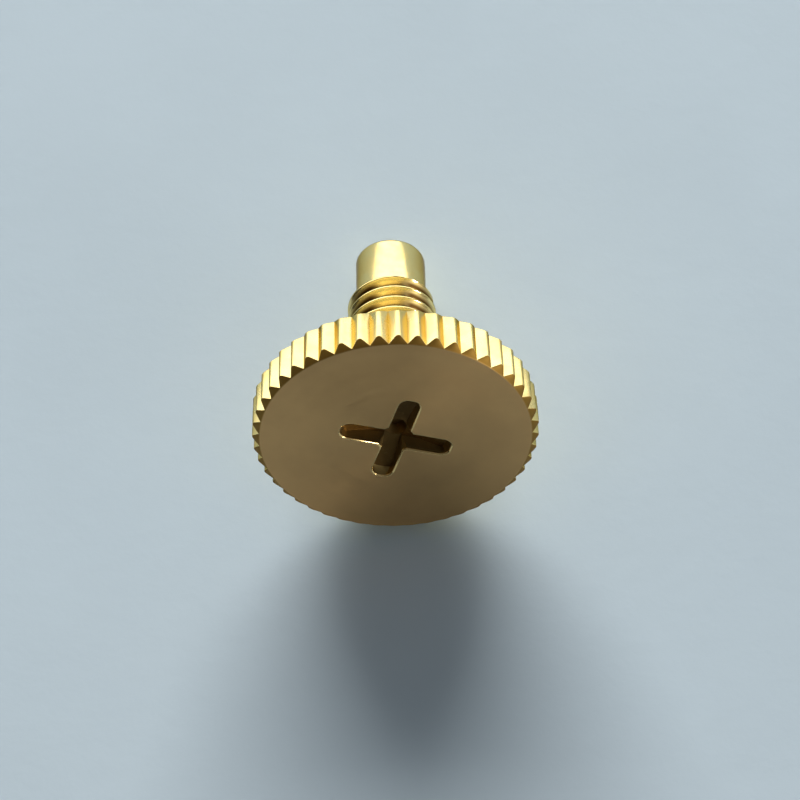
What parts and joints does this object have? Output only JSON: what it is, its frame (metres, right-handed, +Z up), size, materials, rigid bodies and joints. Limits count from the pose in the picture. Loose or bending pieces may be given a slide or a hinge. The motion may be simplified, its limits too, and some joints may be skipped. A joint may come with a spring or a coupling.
{
  "type": "radiator bleeder screw",
  "caption": "Turned brass thumb screw with a straight-knurled disc head, a cross recess, a threaded shank and a plain dog point that seals a radiator's air vent.",
  "frame": {"origin": "middle of the bounding box, on the surface that the screw lies on", "axes": "+Z up; +Y from the head towards the dog point, which slopes down to the surface; +X across the head, to the right as seen from the face"},
  "size_m": [0.0154, 0.0162, 0.0146],
  "materials": {
    "turned_brass": "fine turned face, bright knurl and thread"
  },
  "bodies": {
    "root": {"bleeder_screw": "turned_brass"}
  },
  "joints": []
}
